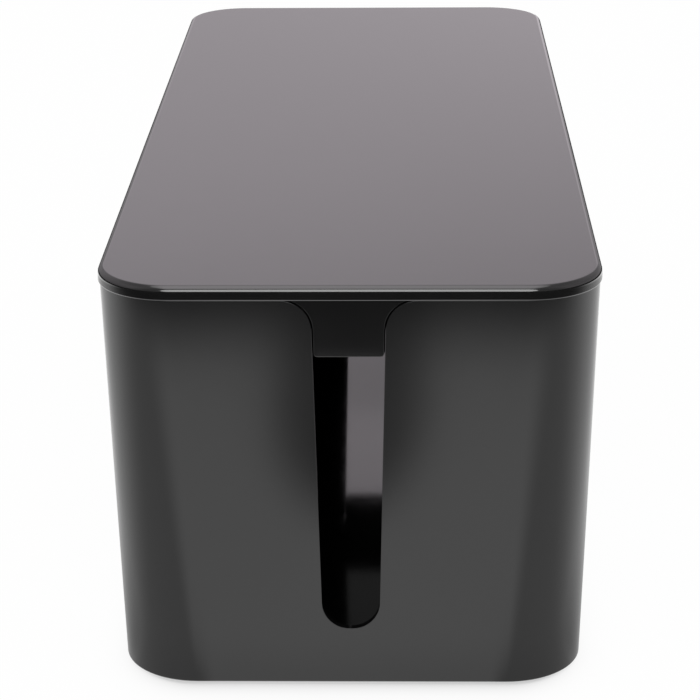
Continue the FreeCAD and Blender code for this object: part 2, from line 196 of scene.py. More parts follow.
class StageSizes(PropertyGroup):
    """The camera, the lamps, the floor and the sky."""

    camera: FloatVectorProperty(name="Camera", description="Place of the camera", size=3,
                                subtype="TRANSLATION", default=(16.0 * MM, -901.2 * MM, 368.2 * MM))
    yaw: angle("Yaw", 1.278, "Turn of the camera, anticlockwise from straight along the box")
    pitch: angle("Pitch", 19.856, "How far the camera looks down")
    roll: angle("Roll", -0.464, "Turn of the camera about its line of sight")
    lens: number("Lens", 125.34, "Focal length in millimetres, for a sensor 36 mm wide")
    above: length("Upper lamp", 1.1, "Height of the large lamp over the box")
    above_width: length("Upper lamp's width", 0.9, "Width of the large lamp")
    above_front: length("Upper lamp's front end", 1.2, "How far the large lamp reaches forwards")
    above_back: length("Upper lamp's back end", 0.4, "How far the large lamp reaches backwards")
    above_watts: number("Upper lamp's power", 2.0, "Watts of the large lamp")
    front: length("Front lamp", 1.2, "Distance of the front lamp from the lid's near edge")
    front_rise: angle("Front lamp's rise", 21, "Height of the front lamp, seen from the lid's near edge")
    front_width: length("Front lamp's width", 0.8, "Width of the front lamp")
    front_height: length("Front lamp's height", 0.8, "Height of the front lamp")
    front_watts: number("Front lamp's power", 3.4, "Watts of the front lamp")
    world_light: number("World light", 0.65, "Strength of the light from all around")
    floor_half: length("Floor", 6.0, "Half the width of the floor")
    # The shadow round the box is partly painted: the floor's own glow fades towards the box's foot
    shadow: length("Shadow", 4 * MM, "The distance in which the shadow round the box falls to a third")
    shadow_glow: share("Glow in the shadow", 0.5, "How much of the white is left at the box's foot")
    # Painted reflections: the bright disc, the dark bar and the shade below are painted on the floor and
    # seen only in reflections
    painted_disc_radius: length("Paper radius", 0.5015, "Radius of the white paper that the box reflects")
    painted_disc_fade: length("Paper fade", 0.052, "Half the width over which the paper's brightness ends")
    bar_middle: number("Dark bar's middle", -0.005, "Where the dark bar lies, across the box")
    bar_start: length("Dark bar's start", 0.4315, "Where the dark bar starts, from the middle of the box")
    bar_width: length("Dark bar's half width", 0.031, "Half the width of the dark bar")
    shade: share("Shade", 0.4, "Depth of the shade beside the box and from its front corners")
    sky: colour("Sky", (1.0, 0.925, 0.985), "Colour of the sky where it is bright")


class BoxSettings(PropertyGroup):
    """All that a user may change."""

    tub: PointerProperty(type=TubSizes, name="Tub")
    lid: PointerProperty(type=LidSizes, name="Lid")
    foot: PointerProperty(type=FootSizes, name="Foot")
    fineness: PointerProperty(type=Fineness, name="Fineness")
    finish: PointerProperty(type=Finishes, name="Finish")
    stage: PointerProperty(type=StageSizes, name="Stage")


def new_object(name, data):
    """An object with that data, put into the scene."""
    item = bpy.data.objects.new(name, data)
    bpy.context.scene.collection.objects.link(item)
    return item


# Surfaces

UP = np.array([0.0, 0.0, 1.0])
ALONG = np.array([0.0, 1.0, 0.0])


def unit(vectors):
    """Vectors shortened or lengthened to 1."""
    return vectors / np.linalg.norm(vectors, axis=-1, keepdims=True)


def places(x, y, z):
    """Points from three rows of numbers, any of which may be a single number."""
    return np.stack(np.broadcast_arrays(x, y, z), axis=-1).astype(float)


class Outline:
    """Stations round a quarter of a rounded rectangle, from a long side's middle to an end's middle.

    A station's place is reach * core + fixed + radius * out. Core is the rectangle's half sizes less
    its corner radius, out is the outward direction at the station, and reach and fixed say how far
    the station moves with the core and how much of its place is its own.
    """

    def __init__(self, fineness, end_reach, end_fixed):
        """End_reach and end_fixed are across the box, listed from the end's middle outwards."""
        side = np.linspace(0, 1, fineness.side, endpoint=False)
        turn = np.linspace(0, pi / 2, fineness.corner + 1)
        self.reach = np.concatenate([
            places(1, side, 0), places(np.ones_like(turn), 1, 0), places(end_reach[::-1], 1, 0),
        ])
        self.fixed = np.concatenate([
            np.zeros((len(side) + len(turn), 3)), places(end_fixed[::-1], 0, 0),
        ])
        self.out = np.concatenate([
            places(np.ones_like(side), 0, 0), places(np.cos(turn), np.sin(turn), 0),
            places(0, np.ones_like(end_reach), 0),
        ])
        self.out[np.abs(self.out) < TINY] = 0
        self.corner_middle = fineness.side + fineness.corner // 2

    def ring(self, size, inset, radius, height):
        """The stations of one level ring, set in from the outside of a tub or lid."""
        core = np.array([size.width / 2 - inset - radius, size.length / 2 - inset - radius, 0])
        return self.reach * core + self.fixed + radius * self.out + height * UP

    def leaning(self, lean, growth):
        """Outward normals of walls that lean in downwards while their corner radius grows.

        For each unit upwards a station moves by (lean + growth) * reach - growth * out, and the
        normal is square to that.
        """
        drop = (lean + growth) * (self.reach * self.out).sum(-1, keepdims=True) - growth
        return unit(self.out - drop * UP)


def straight(start, end, normal, count=1):
    """Rows on straight lines between two edges: start + (end - start) * t, one normal a station."""
    t = np.linspace(0, 1, count + 1)[:, None, None]
    points = start + (end - start) * t
    return points, np.broadcast_to(normal, points.shape), 0.0


def rounded(edge, before, after, radius, count, hollow=False):
    """Rows that turn round an edge, from the face before it to the face after it.

    The centre lies one radius from both faces: edge -+ radius * (before + after) / (1 + before . after).
    The normal swings evenly from one face's normal to the other's, and the surface lies one radius
    from the centre along it. In a hollow edge the centre is on the open side. The share of rounded
    edge grows from nothing at the face before it.
    """
    before, after = np.broadcast_arrays(before, after)
    alike = (before * after).sum(-1, keepdims=True)
    side = -1 if hollow else 1
    centre = edge - side * radius * (before + after) / (1 + alike)
    swing = np.arccos(np.clip(alike, -1, 1))
    t = np.linspace(0, 1, count + 1)[:, None, None]
    normals = (np.sin((1 - t) * swing) * before + np.sin(t * swing) * after) / np.sin(swing)
    return centre + side * radius * normals, normals, np.minimum(1, t / EDGE_START)


def filled(border, middle, normal):
    """A level patch with quads only, from the two middle lines of the box out to a quarter outline.

    The outline is split at its corner's middle, which gives the patch four sides: two on the middle
    lines and two on the outline. Each inner point is the sum of the two straight lines between
    opposite sides less the plain blend of the four corners.
    """
    long_side, end_side = border[:middle + 1], border[middle:][::-1]
    corner = border[middle]
    heart = np.array([0, 0, corner[2]])
    across = heart + (end_side - heart) * [1, 0, 0] * (border[0, 0] / corner[0])
    along = heart + (long_side - heart) * [0, 1, 0] * (border[-1, 1] / corner[1])
    p = ((across[:, 0] - across[0, 0]) / (across[-1, 0] - across[0, 0]))[:, None, None]
    q = ((along[:, 1] - along[0, 1]) / (along[-1, 1] - along[0, 1]))[None, :, None]
    lines = (1 - q) * across[:, None] + q * end_side[:, None] + (1 - p) * along[None] + p * long_side[None]
    corners = ((1 - p) * (1 - q) * heart + p * (1 - q) * across[-1]
               + (1 - p) * q * along[-1] + p * q * corner)
    points = lines - corners
    return points, np.broadcast_to(normal, points.shape), 0.0


class Shell:
    """Grid patches that meet edge to edge, gathered into one closed mesh.

    Each patch is a function of two parameters worked out on a grid: points, their normals, and how
    far they lie on a rounded edge. A patch for a quarter of the box is added four times, mirrored
    in both middle planes.
    """

    QUARTERS = ((1, 1), (-1, 1), (1, -1), (-1, -1))

    def __init__(self):
        self.corners = []
        self.normals = []
        self.rounded = []
        self.finishes = []

    def add(self, patch, finish=OUTSIDE, mirrors=QUARTERS):
        points, normals, on_edge = patch
        for x, y in mirrors:
            for grids, rows in (
                (self.corners, points * [x, y, 1]),
                (self.normals, normals * [x, y, 1]),
                (self.rounded, np.full(points.shape[:2] + (1,), on_edge)),
            ):
                quads = np.stack([rows[:-1, :-1], rows[1:, :-1], rows[1:, 1:], rows[:-1, 1:]], axis=2)
                grids.append(quads.reshape(-1, 4, rows.shape[-1]))
            self.finishes.append(np.full((points.shape[0] - 1) * (points.shape[1] - 1), finish))

    def object(self, name, materials):
        """The mesh as an object: points that coincide are one, and every face looks outwards."""
        corners, normals, on_edge = map(np.concatenate, (self.corners, self.normals, self.rounded))
        finishes = np.concatenate(self.finishes)

        # A face whose own normal disagrees with its surface's is turned round
        facing = np.cross(corners[:, 2] - corners[:, 0], corners[:, 3] - corners[:, 1])
        wrong = (facing * normals.sum(1)).sum(-1) < 0
        for values in (corners, normals, on_edge):
            values[wrong] = values[wrong, ::-1]

        # Points that coincide are joined, and a quad with two of them becomes a triangle
        grid = np.round(corners.reshape(-1, 3) / JOIN).astype(np.int64)
        _, first, index = np.unique(grid, axis=0, return_index=True, return_inverse=True)
        index = index.reshape(-1, 4)
        kept = index != np.roll(index, 1, axis=1)
        whole = kept.sum(1) > 2
        index, kept, normals, finishes = index[whole], kept[whole], normals[whole], finishes[whole]
        edge_share = np.zeros(len(first))
        np.maximum.at(edge_share, index[kept], on_edge[whole][kept][:, 0])

        self.check_closed(name, index, kept)
        mesh = bpy.data.meshes.new(name)
        mesh.vertices.add(len(first))
        mesh.vertices.foreach_set("co", corners.reshape(-1, 3)[first].ravel())
        mesh.loops.add(int(kept.sum()))
        mesh.loops.foreach_set("vertex_index", index[kept])
        mesh.polygons.add(len(index))
        mesh.polygons.foreach_set("loop_start", np.cumsum(kept.sum(1)) - kept.sum(1))
        mesh.polygons.foreach_set("material_index", finishes)
        mesh.polygons.foreach_set("use_smooth", np.ones(len(index), bool))
        mesh.update(calc_edges=True)
        mesh.attributes.new("rounded_edge", "FLOAT", "POINT").data.foreach_set("value", edge_share)
        mesh.normals_split_custom_set(normals[kept])
        for material in materials:
            mesh.materials.append(material)
        return new_object(name, mesh)

    @staticmethod
    def check_closed(name, index, kept):
        """Every edge has to belong to exactly two faces, which run along it in opposite directions."""
        after = np.where(np.roll(kept, -1, axis=1), np.roll(index, -1, axis=1), np.roll(index, -2, axis=1))
        edges = np.stack([index[kept], after[kept]], axis=1)
        forward, counts = np.unique(edges, axis=0, return_counts=True)
        backward = np.unique(edges[:, ::-1], axis=0)
        if counts.max() > 1 or len(forward) != len(backward) or (forward != backward).any():
            raise RuntimeError(name + " isn't one closed surface")


def side_direction(tub):
    """The direction square to the slot's leaning side, from the material to the opening, as an angle.

    The side touches the flare's circle and the circle of the round lower end, one from each side. So
    along that direction the circles' centres are as far apart as their radii together.
    """
    end_radius = tub.slot_base / 2
    across = tub.slot_neck / 2 + tub.slot_flare
    up = tub.edge - tub.slot_flare - tub.slot_low - end_radius
    return atan2(up, across) + pi / 2 + asin((tub.slot_flare + end_radius) / hypot(across, up))


def on_circle(centre, radius, turn):
    """Points on a circle in the end's plane, and the directions to them: centre + radius * (cos, sin)."""
    directions = np.stack([np.cos(turn), np.sin(turn)], axis=-1)
    return np.array(centre) + radius * directions, directions


def slot_outline(tub, fineness):
    """Half of the slot's outline, from its low point to its flare's top, and the way to the opening."""
    lean = side_direction(tub)
    end_radius = tub.slot_base / 2
    low = (0, tub.slot_low + end_radius)
    high = (tub.slot_neck / 2 + tub.slot_flare, tub.edge - tub.slot_flare)
    bottom, outwards = on_circle(low, end_radius, np.linspace(-pi / 2, lean - pi, fineness.arc + 1))
    flare, towards = on_circle(high, tub.slot_flare, np.linspace(lean, pi / 2, fineness.arc + 1))
    t = np.linspace(0, 1, fineness.line + 1)[1:-1, None]
    side = bottom[-1] + (flare[0] - bottom[-1]) * t
    opening = np.broadcast_to(towards[0], side.shape)
    return np.concatenate([bottom, side, flare]), np.concatenate([-outwards, opening, towards])


def tub_shell(tub, foot, fineness):
    """The tub as one profile carried round its outline.

    From the underside the profile turns up the outer wall, over the free edge, down the inner wall
    and on to the floor. At each end the free edge dips round the slot, and the walls there are the
    straight lines from the base to it.
    """
    lean = tub.taper / (tub.edge - tub.underside)
    growth = tub.corner_growth / (tub.edge - tub.underside)
    slot, opening = slot_outline(tub, fineness)
    slot_stations = len(slot)
    end_stations = slot_stations + fineness.end - 1
    shares = np.arange(end_stations) / (end_stations + 1)
    base = Outline(fineness, shares, np.zeros(end_stations))

    # At the edge, the plain part of the end reaches from the flare to the corner
    flare_end = slot[-1, 0]
    plain = np.linspace(0, 1, fineness.end + 1)[1:-1]
    edge_reach = np.concatenate([np.zeros(slot_stations), plain])
    edge_fixed = np.concatenate([slot[:, 0], (1 - plain) * flare_end])
    rim = Outline(fineness, edge_reach, edge_fixed)
    dip = np.zeros(len(rim.out))
    dip[-slot_stations:] = (tub.edge - slot[:, 1])[::-1]
    free = np.broadcast_to(UP, rim.out.shape).copy()
    free[-slot_stations:] = places(opening[:, 0], 0, opening[:, 1])[::-1]

    def edge_ring(inset):
        ring = rim.ring(tub, inset, tub.corner - inset, tub.edge)
        return ring - dip[:, None] * (UP + lean * ALONG)

    def base_ring(inset, height):
        drop = tub.edge - height
        return base.ring(tub, inset + lean * drop, tub.corner + growth * drop - inset, height)

    outwards = base.leaning(lean, growth)
    inwards = -outwards
    turn = fineness.rounding
    foot_rows = rounded(base_ring(0, tub.underside), -UP, outwards, tub.base_rounding, turn)
    outer_edge = rounded(edge_ring(0), outwards, free, tub.edge_rounding, turn)
    inner_edge = rounded(edge_ring(tub.wall), free, inwards, tub.edge_rounding, turn)
    level = tub.underside + tub.floor
    floor_rows = rounded(base_ring(tub.wall, level), inwards, UP, tub.floor_rounding, turn, hollow=True)

    shell = Shell()
    for patch in (
        foot_rows,
        straight(foot_rows[0][-1], outer_edge[0][0], outwards, fineness.wall),
        outer_edge,
        straight(outer_edge[0][-1], inner_edge[0][0], free),
    ):
        shell.add(patch)
    for patch in (
        inner_edge,
        straight(inner_edge[0][-1], floor_rows[0][0], inwards, fineness.wall),
        floor_rows,
        filled(floor_rows[0][-1], base.corner_middle, UP),
    ):
        shell.add(patch, INSIDE)
    add_underside(shell, foot_rows[0][0], tub, foot, fineness)
    return shell


def add_underside(shell, border, tub, foot, fineness):
    """A quarter of the underside, with the round recess of a foot.

    The rows run out from the recess along straight lines from its centre to the quarter's border.
    """
    heart = np.array([0, 0, tub.underside])
    t = np.linspace(0, 1, fineness.wall + 1)[1:, None]
    border = np.concatenate([
        border,
        border[-1] + (heart - border[-1]) * t,
        heart + (border[0] - heart) * t,
    ])
    centre = np.array([foot.spread_x, foot.spread_y, tub.underside])
    away = unit(border - centre)
    mouth = centre + away * (foot.diameter / 2 + foot.gap)
    depth = (foot.top - tub.underside) * UP
    shell.add(straight(border, mouth, -UP, fineness.wall))
    shell.add(straight(mouth, mouth + depth, -away))
    shell.add(straight(mouth + depth, np.broadcast_to(centre + depth, mouth.shape), -UP, 2))


def tongue_outline(tub, lid, fineness):
    """Half of a tongue's outline from the middle of its foot to the rim, and the way out of the material.

    It is the slot's outline drawn in by the gap and cut off at the tongue's foot. It also gives the
    numbers of the stations where it passes the lip's lower edge and the rim.
    """
    lean = side_direction(tub)
    out = np.array([-cos(lean), -sin(lean)])
    flare_centre = np.array([tub.slot_neck / 2 + tub.slot_flare, tub.edge - tub.slot_flare])
    radius = tub.slot_flare + lid.tongue_gap
    side_top = flare_centre - radius * out
    height = lid.foot + lid.tongue_corner
    across = (side_top @ out - lid.tongue_corner - out[1] * height) / out[0]
    corner, corner_out = on_circle((across, height), lid.tongue_corner,
                                   np.linspace(-pi / 2, lean - pi, fineness.rounding + 1))
    levels = tub.edge - lid.lip_depth, tub.edge
    passes = [pi - asin((level - flare_centre[1]) / radius) for level in levels]
    turns = np.concatenate([
        np.linspace(lean, passes[0], fineness.rounding + 1),
        np.linspace(passes[0], passes[1], fineness.rounding + 1)[1:],
    ])
    flare, towards = on_circle(flare_centre, radius, turns)
    t = np.linspace(0, 1, fineness.rounding + 1)[:-1, None]
    foot = np.array([0, lid.foot]) + (corner[0] - [0, lid.foot]) * t
    side = corner[-1] + (flare[0] - corner[-1]) * t[1:]
    points = np.concatenate([foot, corner, side, flare])
    outs = np.concatenate([np.broadcast_to([0.0, -1.0], foot.shape), corner_out,
                           np.broadcast_to(out, side.shape), -towards])
    rim_station = len(points) - 1
    return points, outs, rim_station - fineness.rounding, rim_station


def lid_shell(tub, lid, fineness):
    """The lid as one profile carried round its outline.

    From the plate's top the profile turns over the rim, under it, round the locating lip and on to
    the plate's underside. At each end it goes round the tongue instead, whose rows are the straight
    lines from the rim to the tongue's outline, across it and back up to the lip.
    """
    outline, outs, lip_station, rim_station = tongue_outline(tub, lid, fineness)
    stations = rim_station + 1
    half_tongue = outline[-1, 0]
    fade = np.clip((tub.edge - outline[:, 1]) / lid.lip_depth, 0, 1)
    wide = outline[:, 0] + lid.tongue_spread * outs[:, 0] * fade
    plain = np.linspace(0, 1, fineness.end + 1)[1:-1]
    reach = np.concatenate([np.zeros(stations), plain])
    beyond = (1 - plain) * half_tongue
    on_rim = Outline(fineness, reach, np.concatenate([np.linspace(0, half_tongue, stations), beyond]))
    below_lip = np.linspace(0, wide[lip_station], lip_station + 1)
    on_lip = Outline(fineness, reach, np.concatenate([below_lip, wide[lip_station + 1:], beyond]))

    def ring(inset, height):
        return on_rim.ring(lid, inset, lid.corner - inset, height)

    overhang = (lid.width - tub.width) / 2
    lip_inset = overhang + tub.wall + lid.lip_gap
    lip_corner = tub.corner - tub.wall - lid.lip_gap

    def lip_ring(depth, height, stations_of=on_lip):
        return stations_of.ring(lid, lip_inset + depth, lip_corner - depth, height)

    rest, lip_low = tub.edge, tub.edge - lid.lip_depth
    plate_low = lid.top - lid.plate
    out, turn = on_rim.out, fineness.rounding
    top_edge = rounded(ring(0, lid.top), UP, out, lid.top_rounding, turn)
    low_edge = rounded(ring(0, rest), out, -UP, lid.lower_rounding, turn)
    lean = tub.taper / (tub.edge - tub.underside)
    setback = overhang + lean * (rest - lid.foot)
    under_rim = ring(setback, rest)

    shell = Shell()
    shell.add(filled(top_edge[0][0], on_rim.corner_middle, UP))
    shell.add(top_edge)
    shell.add(straight(top_edge[0][-1], low_edge[0][0], out, fineness.rounding))
    shell.add(low_edge)
    shell.add(straight(low_edge[0][-1], under_rim, -UP))

    # Away from the tongue: the rim's underside, the lip's outer face, foot and inner face
    plain_part = slice(0, len(out) - rim_station)
    lip_middle = lid.lip / 2
    for start, end, normal, finish in (
        (under_rim, lip_ring(0, rest, on_rim), -UP, OUTSIDE),
        (lip_ring(0, rest, on_rim), lip_ring(0, lip_low, on_rim), out, INSIDE),
        (lip_ring(0, lip_low, on_rim), lip_ring(lip_middle, lip_low, on_rim), -UP, INSIDE),
    ):
        normal = np.broadcast_to(normal, start.shape)
        shell.add(straight(start[plain_part], end[plain_part], normal[plain_part]), finish)
    add_tongue(shell, outline, outs, wide, lip_station, under_rim, lip_ring, tub, lid, fineness)
    shell.add(straight(lip_ring(lip_middle, lip_low), lip_ring(lid.lip, lip_low), -UP), INSIDE)
    shell.add(straight(lip_ring(lid.lip, lip_low), lip_ring(lid.lip, plate_low), -out), INSIDE)
    shell.add(filled(lip_ring(lid.lip, plate_low), on_lip.corner_middle, -UP), INSIDE)
    return shell


def add_tongue(shell, outline, outs, wide, lip_station, under_rim, lip_ring, tub, lid, fineness):
    """Half of a tongue: its outer face, its rounded edge, its sides and its back.

    The rounding runs out to nothing where the outline meets the rim. Only the tongue's foot, where
    the outline faces down, counts as a rounded edge. Wide is the outline's width at the tongue's
    back, so that the gap round it closes inwards.
    """
    count = len(outline)
    top = under_rim[::-1][:count]
    lip_low = tub.edge - lid.lip_depth
    face = places(outline[:, 0], top[0, 1], outline[:, 1])
    out = places(outs[:, 0], 0, outs[:, 1])
    run_out = np.clip((tub.edge - outline[:, 1:]) / lid.lip_depth, 0, 1)
    points, normals, _ = rounded(face, ALONG, out, lid.tongue_rounding * run_out, fineness.rounding)
    nearly_down = -0.9
    edge = points, normals, np.where(outs[:, 1:] < nearly_down, 1.0, 0.0)
    lip_face = places(wide, lip_ring(0, lip_low)[-1, 1], outline[:, 1])
    back = places(wide, lip_ring(lid.lip / 2, lip_low)[-1, 1], outline[:, 1])
    shell.add(straight(top, edge[0][0], ALONG, fineness.rounding))
    shell.add(edge)
    shell.add(straight(edge[0][-1], lip_face, out))

    # Below the lip the tongue reaches back to the middle of the lip's foot
    low = slice(0, lip_station + 1)
    lip_back = lip_ring(lid.lip / 2, lip_low)[::-1][:count]
    shell.add(straight(lip_face[low], back[low], out[low]), INSIDE)
    shell.add(straight(back[low], lip_back[low], -ALONG, fineness.rounding), INSIDE)

    # Above it the lip's outer face shows beside the tongue
    high = slice(lip_station, count)
    lip_foot = places(wide, lip_face[0, 1], lip_low)
    shell.add(straight(lip_face[high], lip_foot[high], ALONG), INSIDE)
    shell.add(straight(lip_foot[high], lip_back[high], -UP), INSIDE)


def foot_shell(foot, centre, count, turn_steps):
    """A round foot: a profile from the middle of its face round its edge to the middle of its back."""
    turn = np.linspace(0, 2 * pi, count + 1)
    out = places(np.cos(turn), np.sin(turn), 0)
    out[-1] = out[0]
    centre = np.array([centre[0], centre[1], 0])
    ring = centre + foot.diameter / 2 * out
    lower = rounded(ring, -UP, out, foot.rounding, turn_steps)
    upper = ring + foot.top * UP
    shell = Shell()
    for patch in (
        straight(np.broadcast_to(centre, ring.shape), lower[0][0], -UP, turn_steps),
        lower,
        straight(lower[0][-1], upper, out),
        straight(upper, np.broadcast_to(centre + foot.top * UP, ring.shape), UP, 2),
    ):
        shell.add(patch, mirrors=[(1, 1)])
    return shell


# Finishes

def forth(operation):
    """A method that gives the operation on this value and another."""
    return lambda self, other: self.maths(operation, self, other)


def back(operation):
    """The same with the other value first."""
    return lambda self, other: self.maths(operation, other, self)


class Wire:
    """An output of a node, which can be reckoned with like a number."""

    def __init__(self, nodes, socket):
        self.nodes = nodes
        self.socket = socket

    def maths(self, operation, first, second=0.0):
        return self.nodes.add("Math", {"operation": operation}, {0: first, 1: second})

    def size(self):
        """The value without its sign."""
        return self.maths("ABSOLUTE", self)

    def exponent(self):
        """The number e to the power of this value."""
        return self.maths("EXPONENT", self)

    __add__, __radd__ = forth("ADD"), back("ADD")
    __sub__, __rsub__ = forth("SUBTRACT"), back("SUBTRACT")
    __mul__, __rmul__ = forth("MULTIPLY"), back("MULTIPLY")
    __truediv__, at_least = forth("DIVIDE"), forth("MAXIMUM")

    # The angle whose tangent is this value over the other
    turn = forth("ARCTAN2")


class Nodes:
    """A node tree under construction."""

    def __init__(self, tree):
        self.tree = tree
        tree.nodes.clear()

    def add(self, kind, settings=None, inputs=None, output=0):
        """Adds a shader node, sets it up, fills or links its sockets and gives one of its outputs."""
        node = self.tree.nodes.new("ShaderNode" + kind)
        for name, value in (settings or {}).items():
            setattr(node, name, value)
        for name, value in (inputs or {}).items():
            socket = node.inputs[name]
            if isinstance(value, Wire):
                self.tree.links.new(value.socket, socket)
            else:
                socket.default_value = value
        return Wire(self, node.outputs[output]) if node.outputs else node

    def noise(self, place, size, detail):
        """Noise whose features are about so many metres across."""
        return self.add("TexNoise", {}, {"Vector": place, "Scale": 1 / size, "Detail": detail}, "Fac")

    def ramp(self, value, low, high):
        """0 below low, 1 above high and a smooth step between them."""
        return self.add("MapRange", {"interpolation_type": "SMOOTHSTEP"},
                        {"Value": value, "From Min": low, "From Max": high})

    def blend(self, factor, first, second):
        """A colour between two others."""
        return self.add("Mix", {"data_type": "RGBA"}, {0: factor, 6: first, 7: second}, 2)

    def mix_shaders(self, factor, first, second):
        return self.add("MixShader", {}, {0: factor, 1: first, 2: second})

    def ray(self, kind):
        """1 for rays of one kind, 0 for all others."""
        return self.add("LightPath", {}, {}, kind)

    def place(self):
        """The point in metres, in its object's own frame."""
        return self.add("TexCoord", {}, {}, "Object")

    def part(self, vector, axis):
        return self.add("SeparateXYZ", {}, {"Vector": vector}, axis)

    def hypot(self, x, y):
        """The root of x * x + y * y."""
        flat = self.add("CombineXYZ", {}, {"X": x, "Y": y})
        return self.add("VectorMath", {"operation": "LENGTH"}, {0: flat}, "Value")

    def bump(self, height, depth):
        return self.add("Bump", {}, {"Height": height, "Distance": depth}, "Normal")

    def surface(self, shader):
        self.add("OutputMaterial", {}, {"Surface": shader})


def new_material(name):
    material = bpy.data.materials.new(name)
    material.use_nodes = True
    return material, Nodes(material.node_tree)


def four(rgb):
    return (*rgb, 1.0)


def grey(level):
    """A grey of that level, opaque."""
    return four((level, level, level))


def streaked(nodes, finish, flow):
    """The plastic's colour: it passes from one black to the other as the flow passes its middle."""
    middle = 0.3, 0.7
    return nodes.blend(nodes.ramp(flow, *middle), four(finish.plastic), four(finish.plastic_pale))


def outside_plastic(finish, polish=0.0):
    """Satin black plastic: flow streaks, a fine moulded grain, faint rub marks, smoother on the edges.

    The roughness is the outside's own, a little more or less with the clouds, more in the rub marks
    and less on the edges. Polish is how far the rounded edges have a clear gloss on top.
    """
    material, nodes = new_material("satin_black_plastic")
    place = nodes.place()
    flow = nodes.noise(place, size=60 * MM, detail=3)
    cloud = nodes.noise(place, size=9 * MM, detail=4)
    grain = nodes.noise(place, size=0.45 * MM, detail=2)
    dimples = nodes.noise(place, size=1.6 * MM, detail=1)
    squeezed, turned, deepest = (1, 12, 12), (0, 0, 0.4), (0.62, 0.8)
    stretched = nodes.add("Mapping", {}, {"Vector": place, "Scale": squeezed, "Rotation": turned})
    rub = nodes.ramp(nodes.noise(stretched, size=14 * MM, detail=5), *deepest)
    edge = nodes.add("Attribute", {"attribute_name": "rounded_edge"}, {}, "Fac")
    by_cloud, by_rub, by_edge = 0.03, 0.02, 0.04
    roughness = finish.outside_roughness + by_cloud * (cloud - 0.5) + by_rub * rub - by_edge * edge
    fine, coarse = 0.8, 0.2
    nodes.surface(nodes.add("BsdfPrincipled", {}, {
        "Base Color": streaked(nodes, finish, flow),
        "Roughness": roughness,
        "IOR": finish.outside_ior,
        "Coat Weight": polish * edge,
        "Coat IOR": finish.polish_ior,
        "Coat Roughness": finish.polish_roughness,
        "Normal": nodes.bump(fine * grain + coarse * dimples, depth=0.004 * MM),
    }))
    return material


def inside_plastic(finish):
    """The same plastic as the polished side of the mould leaves it: smooth, with faint flow marks.

    The roughness is the inside's own, a little more or less with the haze.
    """
    material, nodes = new_material("smooth_black_plastic")
    place = nodes.place()
    flow = nodes.noise(place, size=45 * MM, detail=3)
    haze = nodes.noise(place, size=6 * MM, detail=4)
    by_haze = 0.04
    nodes.surface(nodes.add("BsdfPrincipled", {}, {
        "Base Color": streaked(nodes, finish, flow),
        "Roughness": finish.inside_roughness + by_haze * (haze - 0.5),
        "IOR": finish.inside_ior,
        "Normal": nodes.bump(flow, depth=0.01 * MM),
    }))
    return material


def rubber(finish):
    """Matt dark rubber with a fine pebbled skin, scuffed in patches, which are paler and rougher."""
    material, nodes = new_material("dark_rubber")
    place = nodes.place()
    pebble, scuffed, by_scuff, roughness = 0.6 * MM, (0.5, 0.7), 0.15, 0.7
    pebbles = nodes.add("TexVoronoi", {}, {"Vector": place, "Scale": 1 / pebble}, "Distance")
    scuffs = nodes.ramp(nodes.noise(place, size=3 * MM, detail=5), *scuffed)
    nodes.surface(nodes.add("BsdfPrincipled", {}, {
        "Base Color": nodes.blend(scuffs, four(finish.rubber), four(finish.rubber_worn)),
        "Roughness": roughness + by_scuff * scuffs,
        "Normal": nodes.bump(pebbles, depth=0.03 * MM),
    }))
    return material


def finished(piece, body, slot, *nodes):
    """Seats a piece on its body and lets it stand for its nodes. The slot, its finish's name, is not used.
    """
    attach(piece, body)
    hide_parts(*nodes)


class CABLEBOX_OT_tub(Operator):
    """Build the tub with a cable slot in each end"""

    bl_idname = "cable_box.tub"
    bl_label = "Tub"

    def execute(self, context):
        box = context.scene.cable_box
        shell = tub_shell(box.tub, box.foot, box.fineness)
        piece = shell.object("tub_shell", [outside_plastic(box.finish), inside_plastic(box.finish)])
        finished(piece, "tub_body", "tub_plastic", "tub")
        return {"FINISHED"}


class CABLEBOX_OT_lid(Operator):
    """Build the lid with its lip and its tongues"""

    bl_idname = "cable_box.lid"
    bl_label = "Lid"

    def execute(self, context):
        box = context.scene.cable_box
        shell = lid_shell(box.tub, box.lid, box.fineness)
        outside = outside_plastic(box.finish, box.finish.polish)
        piece = shell.object("lid_shell", [outside, inside_plastic(box.finish)])
        finished(piece, "lid_body", "lid_plastic", "lid")
        return {"FINISHED"}


class CABLEBOX_OT_feet(Operator):
    """Build the four rubber feet in their recesses"""

    bl_idname = "cable_box.feet"
    bl_label = "Rubber feet"

    def execute(self, context):
        box = context.scene.cable_box
        material = rubber(box.finish)
        for node in FEET:
            low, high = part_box(node)
            shell = foot_shell(box.foot, (low + high) / 2, box.fineness.foot, box.fineness.rounding)
            finished(shell.object(node + "_pad", [material]), "tub_body", "foot_rubber", node)
        return {"FINISHED"}


